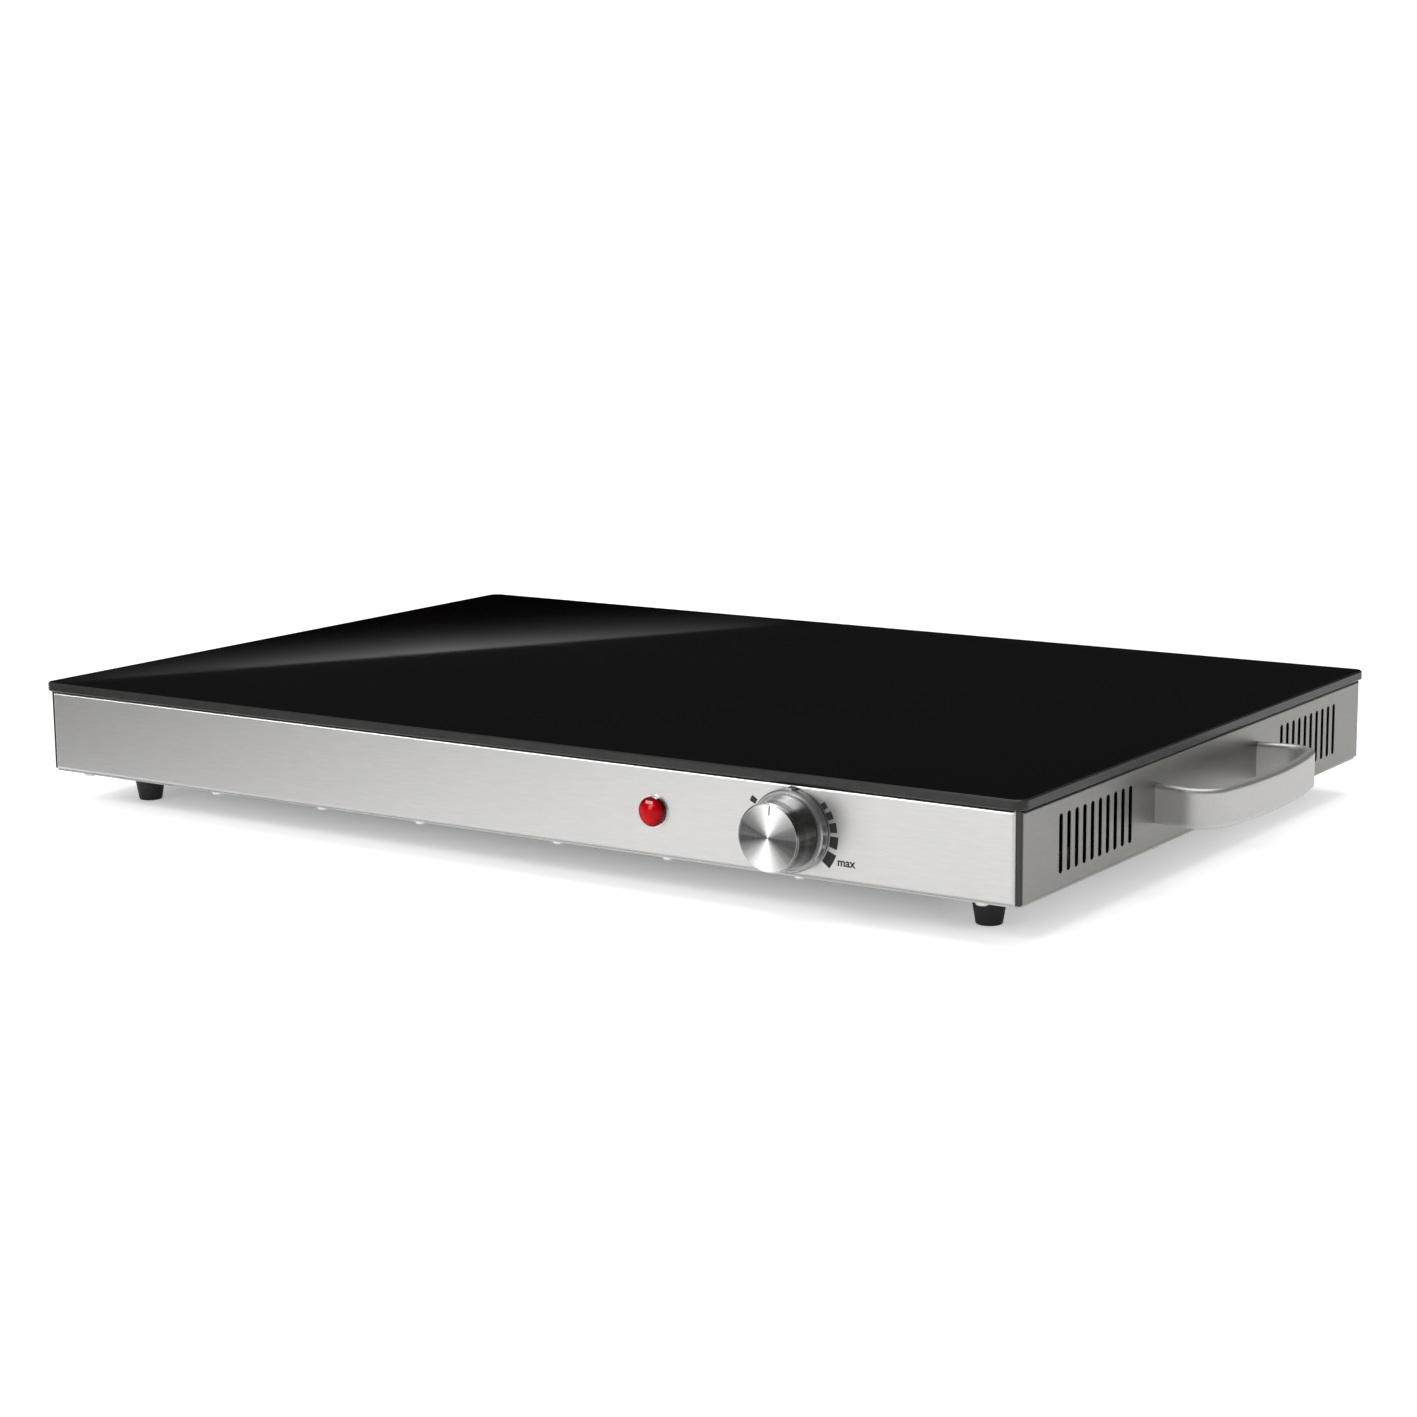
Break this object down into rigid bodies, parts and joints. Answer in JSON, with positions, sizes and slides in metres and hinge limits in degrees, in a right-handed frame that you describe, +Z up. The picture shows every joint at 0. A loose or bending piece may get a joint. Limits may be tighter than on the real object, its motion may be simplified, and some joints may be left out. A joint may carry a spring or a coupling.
{
  "type": "hot plate",
  "caption": "Flat electric hot plate: black glass top on a low steel casing, side handles, front heat knob with scale, pilot lamp, end vents and rubber feet.",
  "frame": {"origin": "floor level under the centre of the whole object's box, handles and knob included", "axes": "+X to the right along the long side seen from the front, +Y towards the rear, +Z up; the knob is on the -Y side"},
  "size_m": [0.6724, 0.419, 0.0681],
  "materials": {
    "black_glass": "polished, opaque black backed tempered glass",
    "silicone_black": "matt",
    "brushed_steel": "brushed along its length",
    "satin_steel": "satin",
    "zinc_steel": "zinc plated sheet",
    "fastener": "bright plated",
    "foot_rubber": "matt moulded",
    "satin_aluminium": "satin cast",
    "spun_aluminium": "turned face",
    "skirt_grey": "silver-grey moulding",
    "brass": "plain",
    "ceramic": "unglazed ceramic",
    "blade_metal": "spring bimetal strip",
    "lens_red": "clear red moulding",
    "housing_black": "moulded",
    "bulb_glass": "clear",
    "spreader_aluminium": "mill finish sheet",
    "heater_silicone": "glass braid over silicone",
    "strap_steel": "aluminised steel",
    "blanket_fibre": "ceramic fibre felt",
    "fuse_white": "ceramic and glass sleeve",
    "wire_brown": "silicone insulation",
    "wire_blue": "silicone insulation",
    "wire_white": "thin insulation",
    "wire_earth": "green insulation",
    "clip_nylon": "natural nylon"
  },
  "bodies": {
    "tray": {"bottom_cover": "zinc_steel", "bottom_cover_screws": "fastener", "corner_brackets": "zinc_steel", "earth_lug": "brass", "earth_stud": "fastener", "earth_wire": "wire_earth", "foot_front_left": "foot_rubber", "foot_front_right": "foot_rubber", "foot_nuts": "fastener", "foot_rear_left": "foot_rubber", "foot_rear_right": "foot_rubber", "foot_screws": "fastener", "foot_washers": "fastener", "front_panel": "brushed_steel", "fused_wire": "wire_brown", "glass_seal": "silicone_black", "glass_top": "black_glass", "handle_screws": "fastener", "heat_spreader": "spreader_aluminium", "heating_cord": "heater_silicone", "heating_cord_straps": "strap_steel", "inlet_body": "housing_black", "inlet_fasteners": "fastener", "inlet_pins": "brass", "insulation_blanket": "blanket_fibre", "left_end_panel": "satin_steel", "left_handle": "satin_aluminium", "live_wire": "wire_brown", "neutral_wire": "wire_blue", "pan_spacer_screws": "fastener", "pan_spacers": "zinc_steel", "pilot_bulb": "bulb_glass", "pilot_housing": "housing_black", "pilot_leads": "wire_white", "pilot_lens": "lens_red", "pilot_retaining_ring": "fastener", "rear_panel": "brushed_steel", "reflector_pan": "strap_steel", "right_end_panel": "satin_steel", "right_handle": "satin_aluminium", "switched_wire": "wire_brown", "thermal_fuse": "fuse_white", "thermal_fuse_clip": "fastener", "thermostat_blade": "blade_metal", "thermostat_body": "ceramic", "thermostat_bushing": "brass", "thermostat_nut": "fastener", "thermostat_terminals": "brass", "wire_clips": "clip_nylon", "wire_splices": "fuse_white"},
    "knob": {"knob_core": "skirt_grey", "knob_cap": "spun_aluminium", "knob_spring_clip": "fastener", "control_spindle": "brass"},
    "adjuster": {"adjuster_pin": "ceramic"}
  },
  "joints": [
    {"name": "knob_turn", "type": "hinge", "parent": "tray", "child": "knob", "pos_m": [0.181, -0.1887, 0.0413], "axis": [0, 1, 0], "range_deg": [-64, 116]},
    {"name": "adjuster_travel", "type": "slide", "parent": "tray", "child": "adjuster", "axis": [0, 1, 0], "range_m": [-0.00024, 0.00042]}
  ],
  "couplings": [
    {"joint": "adjuster_travel", "follows": "knob_turn", "m_per_rad": 0.0002}
  ]
}
